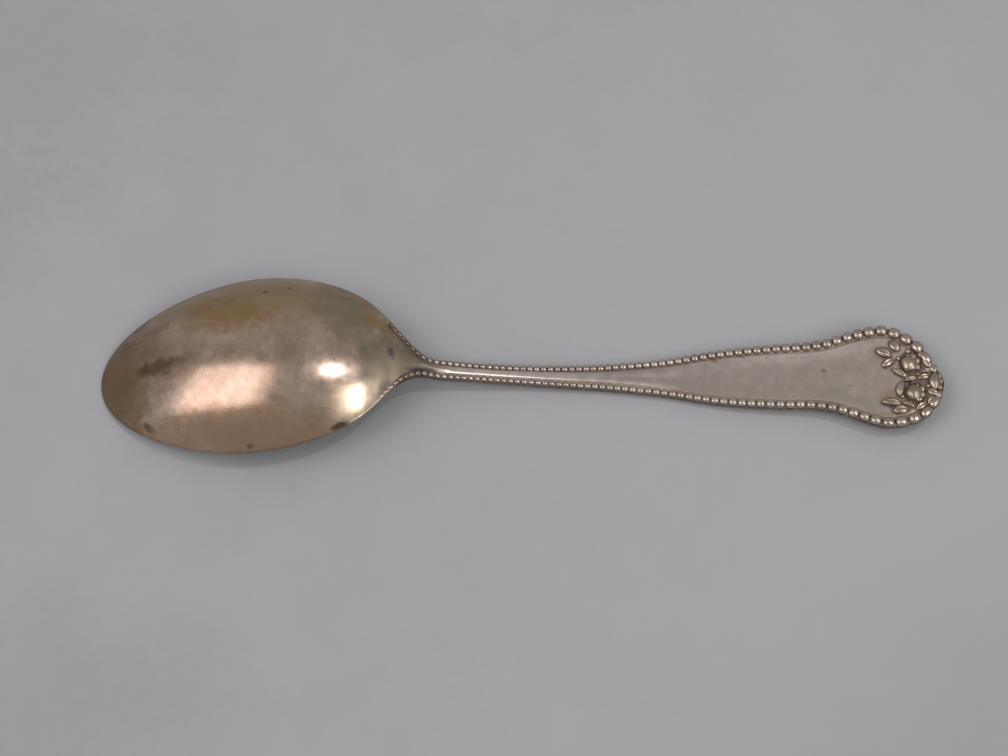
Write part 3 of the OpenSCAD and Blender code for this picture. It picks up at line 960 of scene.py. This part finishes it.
def metal(name, tones, dirt_and_shade_tint, stains_and_painted_light, rough, mottle, dirt_and_shade_amount, handle_tones=None):
    """Tarnished metal. With tones for the handle, it changes to them where the handle begins."""
    g = Graph(name)
    streaks = g.noise(1.0, 3.0, 0.5, (5600, 300, 300, 0.6))
    broad = g.span(g.noise(75, 5.0, 0.6, distortion=0.4), 0.34, 0.66, smooth=True)
    colour = g.blend(broad, *tones)
    along = None
    if handle_tones:
        along = handle_share(g)
        colour = g.blend(along, colour, g.blend(broad, *handle_tones))
        mottle = g.span(along, 0.0, 1.0, mottle, 0.15)
    colour = g.blend(1.0, colour, mottling(g, mottle, streaks), "MULTIPLY")
    for mark in stains_and_painted_light:
        colour = g.spot(colour, *mark)
    specks = g.math("MULTIPLY", g.span(g.noise(2200, 2.0, 0.5), 0.66, 0.76, 0.0, 0.55, smooth=True), mottle)
    colour = g.blend(specks, colour, tuple(c * 0.45 for c in tones[0]))
    # Dark deposit and painted shade from the mesh's mask
    dirt_and_shade = deposit_and_shade(g, dirt_and_shade_amount)
    g.link(g.blend(dirt_and_shade, colour, dirt_and_shade_tint), g.shader.inputs["Base Color"])
    g.shader.inputs["Metallic"].default_value = 1.0
    g.link(roughness(g, rough, dirt_and_shade, along), g.shader.inputs["Roughness"])
    g.bump(scratches(g, streaks, along), strength=0.07, distance=0.00012)
    return g.mat


# Stains, some of them painted shade and painted highlights: middle, half sizes, tint, amount, softness,
# raggedness, turn in degrees
BROWN, UMBER, AMBER = (0.3, 0.17, 0.095), (0.09, 0.055, 0.038), (0.4, 0.235, 0.09)
PURPLE, OLIVE, BLUE_SHADE = (0.12, 0.075, 0.1), (0.25, 0.22, 0.14), (0.1, 0.105, 0.15)
BOWL_STAINS_AND_SHADE = [
    ((28.0, 12.0), (22.0, 6.5), (0.42, 0.31, 0.175), 0.75, 0.6, 0.5, -4.0),
    ((26.0, -13.5), (19.0, 4.0), (0.42, 0.265, 0.16), 0.75, 0.6, 0.5, -3.0),
    ((3.0, -2.0), (8.0, 12.0), (0.25, 0.155, 0.085), 0.85, 0.7, 0.4),
    ((23.5, 8.0), (7.0, 3.6), AMBER, 0.75, 0.6, 0.6, -12.0),
    ((11.0, -1.0), (3.6, 1.5), UMBER, 0.65, 0.6, 0.6, 5.0),
    ((9.5, -11.0), (1.1, 0.5), UMBER, 0.7, 0.6, 0.6, -40.0),
    ((7.8, -9.0), (0.7, 0.5), BROWN, 0.7, 0.6, 0.6),
    ((29.5, 12.5), (0.4, 0.3), UMBER, 0.7, 0.5, 0.5),
    ((33.8, 13.6), (0.35, 0.25), UMBER, 0.6, 0.5, 0.5),
    ((27.9, -15.7), (0.6, 0.4), UMBER, 0.5),
    ((18.2, -9.8), (0.5, 0.45), BROWN, 0.7),
    # Painted shade: a thin dark blue line along the upper left rim
    ((7.5, 10.2), (6.0, 0.35), BLUE_SHADE, 0.6, 0.6, 0.3, 40.0),
    ((43.6, -12.1), (1.5, 0.45), UMBER, 0.9, 0.4, 0.5, 22.0),
]
NECK_STAINS_AND_SHADE = [
    ((44.0, 8.0), (6.5, 4.5), OLIVE, 0.6, 0.7, 0.5, -35.0),
    ((50.5, 6.5), (4.5, 1.3), AMBER, 0.7, 0.6, 0.5, -42.0),
    # Olive tarnish, made darker as painted shade where the neck's form catches the window lamp
    ((53.5, -0.5), (6.0, 5.2), (0.2, 0.175, 0.115), 0.85, 0.65, 0.35, -10.0),
    ((52.0, 1.1), (0.55, 1.0), PURPLE, 0.85, 0.5, 0.6, 20.0),
    # Painted shade: a dark blue line in the crease of the neck
    ((57.5, -1.0), (3.2, 0.45), BLUE_SHADE, 0.85, 0.5, 0.3, 8.0),
]
HANDLE_STAINS_AND_SHEEN = [
    ((109.5, 3.4), (0.55, 0.45), (0.3, 0.13, 0.09), 0.6, 0.5, 0.5),
    ((114.5, 4.0), (0.35, 0.25), UMBER, 0.6, 0.5, 0.5),
    ((118.9, 3.8), (0.3, 0.25), UMBER, 0.5, 0.5, 0.5),
    ((125.1, 3.6), (0.3, 0.25), UMBER, 0.5, 0.5, 0.5),
    ((128.8, 1.0), (0.45, 0.4), PURPLE, 0.55, 0.5, 0.5),
    ((136.0, -2.0), (0.2, 0.17), UMBER, 0.4, 0.5, 0.5),
    ((140.6, -4.4), (2.0, 1.6), (0.36, 0.17, 0.1), 0.5, 0.8, 0.5, -40.0),
    ((138.0, -8.3), (4.0, 1.0), (0.38, 0.23, 0.13), 0.55, 0.8, 0.5, -6.0),
    ((132.0, -2.5), (7.0, 3.0), (0.47, 0.43, 0.34), 0.5, 0.8, 0.4),
    ((100.0, 1.5), (9.0, 2.0), (0.45, 0.37, 0.36), 0.4, 0.8, 0.5),
    # Painted sheen: a pale band along the shank
    ((75.0, 0.0), (11.0, 2.6), (0.64, 0.56, 0.52), 0.8, 0.5, 0.2),
    # Painted highlight: a pale pink streak inside the upper border of the blade
    ((124.5, 4.9), (8.0, 1.4), (0.8, 0.68, 0.64), 0.75, 0.9, 0.4, 9.0),
]
# Tints of the dark deposit and painted shade, and the dark and light tones of each metal
DEPOSIT_AND_SHADE = (0.07, 0.048, 0.033)
BEAD_DEPOSIT_AND_SHADE = (0.09, 0.061, 0.042)
SPRAY_DEPOSIT_AND_SHADE = (0.1, 0.068, 0.047)
BOWL_TONES = (0.385, 0.28, 0.205), (0.6, 0.47, 0.375)
HANDLE_TONES = (0.515, 0.438, 0.38), (0.532, 0.457, 0.4)
BEAD_TONES = (0.41, 0.345, 0.285), (0.55, 0.475, 0.41)
ORNAMENT_TONES = (0.335, 0.28, 0.21), (0.465, 0.39, 0.32)


def make_skin_metal(name, stains_and_painted_light):
    return metal(name, BOWL_TONES, DEPOSIT_AND_SHADE, stains_and_painted_light, rough=0.2, mottle=1.0, dirt_and_shade_amount=0.85,
                 handle_tones=HANDLE_TONES)


def make_bowl_metal():
    return make_skin_metal("bowl_metal", BOWL_STAINS_AND_SHADE + NECK_STAINS_AND_SHADE)


def make_handle_metal():
    return make_skin_metal("handle_metal", NECK_STAINS_AND_SHADE + HANDLE_STAINS_AND_SHEEN)


def make_bead_metal():
    return metal("bead_metal", BEAD_TONES, BEAD_DEPOSIT_AND_SHADE, [], rough=0.25, mottle=0.6, dirt_and_shade_amount=0.95)


def make_ornament_metal():
    return metal("ornament_metal", ORNAMENT_TONES, SPRAY_DEPOSIT_AND_SHADE, [], rough=0.3, mottle=0.7, dirt_and_shade_amount=0.9)


def make_paper():
    g = Graph("paper")
    tone = g.span(g.noise(60, 6.0, 0.6), 0.3, 0.7, 0.0, 1.0)
    paper = g.blend(tone, (0.369, 0.38, 0.396), (0.399, 0.41, 0.427))
    fleck = g.span(g.noise(700, 5.0, 0.7), 0.62, 0.8, 0.0, 0.16, smooth=True)
    paper = g.blend(fleck, paper, (0.25, 0.25, 0.257))
    paper = g.spot(paper, (150, 5), (80, 75), (0.414, 0.424, 0.441), 0.8, 0.9, 0.3)
    for place, size, much, turn in PAPER_CLOUDS:
        paper = g.spot(paper, place, size, (0.28, 0.28, 0.29), much, 0.9, 0.3, turn)
    g.link(paper, g.shader.inputs["Base Color"])
    g.shader.inputs["Roughness"].default_value = 0.9
    g.shader.inputs["Specular IOR Level"].default_value = 0.15
    g.bump(g.noise(900, 8.0, 0.7), strength=0.25, distance=0.0002)
    return g.mat


# Pieces: each is a mesh that stands for nodes of the part


def body_pieces(bowl_metal, handle_metal):
    verts, dirt_and_shade, faces = build_body()
    normals = vertex_normals(verts, [f for f, _ in faces])
    for word, slot, material, node in (
            ("bowl", "silver_bowl", bowl_metal, "bowl"),
            ("heel", "silver_handle", handle_metal, "heel"),
            ("shank", "silver_handle", handle_metal, "shank"),
            ("plate", "silver_handle", handle_metal, "handle_plate")):
        part = [f for f, owner in faces if owner == word]
        used = sorted({i for f in part for i in f})
        place = {v: i for i, v in enumerate(used)}
        part = [tuple(place[i] for i in f) for f in part]
        obj = new_mesh(word + "_skin", [verts[i] for i in used], part, [dirt_and_shade[i] for i in used],
                       [tuple(normals[i]) for i in used])
        piece(obj, slot, material, node)


def bead_pieces(face, word, material):
    for side, hand in ((1, "left"), (-1, "right")):
        obj = new_mesh(f"{word}_pearls_{hand}", *bead_parts(face, side))
        piece(obj, "silver_beads", material, f"{word}_beads_{hand}")


def rose_pieces(face, word, material):
    for n, (hand, spot) in enumerate(ROSES.items()):
        obj = new_mesh(f"{word}_blossom_{hand}", *rose_parts(face, spot, 1.3 * n + 0.4))
        piece(obj, "silver_ornament", material, f"{word}_rose_{hand}")


def leaf_piece(face, word, material):
    obj = new_mesh(f"{word}_foliage", *join([leaf_part(face, spot) for spot in LEAVES]))
    piece(obj, "silver_ornament", material, f"{word}_leaves")


def bud_piece(face, word, material):
    domes = [dome_points(x, y, r, r, r * 0.85, 0.0, face) for x, y, r in BUDS]
    obj = new_mesh(f"{word}_dots", *join(domes))
    piece(obj, "silver_ornament", material, f"{word}_buds")


# Floor, lamps and camera
FLOOR_HALF = 1.5  # metres
# Darker clouds on the paper: middle, half sizes, amount, turn in degrees
PAPER_CLOUDS = [
    ((-40, 28), (26, 12), 0.35, 20.0),
    ((-30, 70), (40, 20), 0.3, -10.0),
    ((-20, -62), (40, 16), 0.35, 5.0),
    ((160, -60), (40, 20), 0.3, 30.0),
]
LAMP_AIM = (-0.035, -0.005, 0.01)
WINDOW_AXIS = (0, 0.85, 0.53)
DAYLIGHT = (1.0, 0.99, 0.87)
# The camera is fitted to the photograph. Lengths are in metres where nothing else is said
ELEVATION, ROLL, DISTANCE = math.radians(66), math.radians(0.35), 0.42
AIM = (-0.00305, 0.00044, 0)
SENSOR = 36  # millimetres
PHOTO_WIDTH = 1008  # pixels
PIXELS_PER_MM = 5.58  # at the aim


def add_floor():
    a = FLOOR_HALF
    mesh = bpy.data.meshes.new("floor")
    mesh.from_pydata([(-a, -a, 0), (a, -a, 0), (a, a, 0), (-a, a, 0)], [], [(0, 1, 2, 3)])
    mesh.materials.append(make_paper())
    floor = bpy.data.objects.new("floor", mesh)
    bpy.context.scene.collection.objects.link(floor)


def add_world():
    world = bpy.data.worlds.new("room")
    bpy.context.scene.world = world
    world.use_nodes = True
    bg = world.node_tree.nodes["Background"]
    bg.inputs["Color"].default_value = (0.98, 0.98, 1.0, 1.0)
    bg.inputs["Strength"].default_value = 0.42


def shine(name, way, reach, size, power, colour, axis=(0, 1, 0)):
    """An area lamp out along a direction from the bowl, its long side turned to an axis."""
    lamp = bpy.data.lights.new(name, "AREA")
    lamp.shape = "RECTANGLE"
    lamp.size, lamp.size_y = size
    lamp.energy = power
    lamp.color = colour
    obj = bpy.data.objects.new(name, lamp)
    bpy.context.scene.collection.objects.link(obj)
    z = Vector(way).normalized()
    x = Vector(axis).cross(z).normalized()
    spot = Vector(LAMP_AIM) + z * reach
    obj.matrix_world = Matrix.Translation(spot) @ Matrix((x, z.cross(x), z)).transposed().to_4x4()


def add_lamps():
    shine("ceiling", (0.36, 0.05, 0.93), 0.97, (0.07, 0.07), 1.15, (1.0, 0.91, 0.945))
    shine("window", (0.61, -0.4, 0.69), 0.8, (0.045, 0.3), 0.85, DAYLIGHT, WINDOW_AXIS)
    shine("sill", (0.56, -0.42, 0.71), 0.8, (0.24, 0.4), 0.38, DAYLIGHT, WINDOW_AXIS)
    shine("wall", (-0.53, -0.12, 0.83), 0.8, (0.6, 0.56), 2.3, (1.0, 0.9, 0.93), (0.1, 1.0, 0.2))


def add_camera():
    east = Vector((1, 0, 0))
    level_up = Vector((0, math.sin(ELEVATION), math.cos(ELEVATION)))
    back = Vector((0, -math.cos(ELEVATION), math.sin(ELEVATION)))
    right = east * math.cos(ROLL) + level_up * math.sin(ROLL)
    up = level_up * math.cos(ROLL) - east * math.sin(ROLL)
    cam = bpy.data.cameras.new("camera")
    cam.sensor_fit = "HORIZONTAL"
    cam.sensor_width = SENSOR
    cam.lens = SENSOR * PIXELS_PER_MM * DISTANCE * 1000 / PHOTO_WIDTH
    cam.clip_start = 0.01
    obj = bpy.data.objects.new("camera", cam)
    bpy.context.scene.collection.objects.link(obj)
    turn = Matrix((right, up, back)).transposed().to_4x4()
    obj.matrix_world = Matrix.Translation(Vector(AIM) + back * DISTANCE) @ turn
    bpy.context.scene.camera = obj
    bpy.context.scene.view_settings.view_transform = "Standard"


bowl_metal, handle_metal = make_bowl_metal(), make_handle_metal()
bead_metal, ornament_metal = make_bead_metal(), make_ornament_metal()
body_pieces(bowl_metal, handle_metal)
for face, word in ((1, "back"), (-1, "front")):
    bead_pieces(face, word, bead_metal)
    rose_pieces(face, word, ornament_metal)
    leaf_piece(face, word, ornament_metal)
    bud_piece(face, word, ornament_metal)
add_floor()
add_world()
add_lamps()
add_camera()
